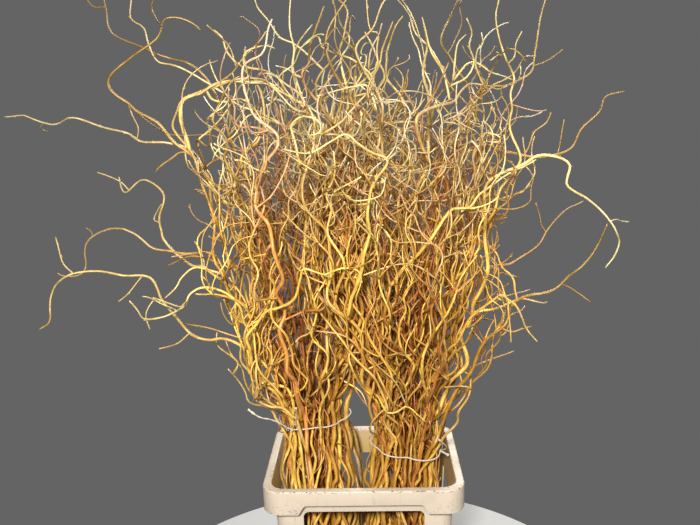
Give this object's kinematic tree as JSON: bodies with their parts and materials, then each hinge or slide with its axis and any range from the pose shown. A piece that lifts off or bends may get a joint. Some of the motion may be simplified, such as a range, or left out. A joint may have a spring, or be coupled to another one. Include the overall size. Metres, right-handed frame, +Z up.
{
  "type": "curly willow branches",
  "caption": "Tied bunches of curly willow branches with twisting stems and side shoots, standing in a cream plastic rectangular flower bucket with cut-out windows",
  "frame": {"origin": "middle of the bucket's flat underside, where it rests", "axes": "+X along the bucket's long side, +Y towards the back, +Z up; the front is -Y"},
  "size_m": [1.2406, 0.6876, 1.413],
  "materials": {
    "bucket_plastic": "satin cream moulded plastic, scuffed along the rim",
    "tie_string": "matt white twine",
    "willow_bark": "satin golden-olive to red-brown bark, paler towards the tips"
  },
  "bodies": {
    "root": {"bucket": "bucket_plastic", "tie_left": "tie_string", "tie_right": "tie_string", "branch_left_01": "willow_bark", "branch_left_02": "willow_bark", "branch_left_03": "willow_bark", "branch_left_04": "willow_bark", "branch_left_05": "willow_bark", "branch_left_06": "willow_bark", "branch_left_07": "willow_bark", "branch_left_08": "willow_bark", "branch_left_09": "willow_bark", "branch_left_10": "willow_bark", "branch_left_11": "willow_bark", "branch_left_12": "willow_bark", "branch_left_13": "willow_bark", "branch_left_14": "willow_bark", "branch_left_15": "willow_bark", "branch_left_16": "willow_bark", "branch_left_17": "willow_bark", "branch_left_18": "willow_bark", "branch_left_19": "willow_bark", "branch_left_20": "willow_bark", "branch_left_21": "willow_bark", "branch_left_22": "willow_bark", "branch_left_23": "willow_bark", "branch_right_01": "willow_bark", "branch_right_02": "willow_bark", "branch_right_03": "willow_bark", "branch_right_04": "willow_bark", "branch_right_05": "willow_bark", "branch_right_06": "willow_bark", "branch_right_07": "willow_bark", "branch_right_08": "willow_bark", "branch_right_09": "willow_bark", "branch_right_10": "willow_bark", "branch_right_11": "willow_bark", "branch_right_12": "willow_bark", "branch_right_13": "willow_bark", "branch_right_14": "willow_bark", "branch_right_15": "willow_bark", "branch_right_16": "willow_bark", "branch_right_17": "willow_bark", "branch_right_18": "willow_bark", "branch_right_19": "willow_bark", "branch_right_20": "willow_bark", "branch_right_21": "willow_bark", "branch_right_22": "willow_bark", "branch_right_23": "willow_bark"}
  },
  "joints": []
}
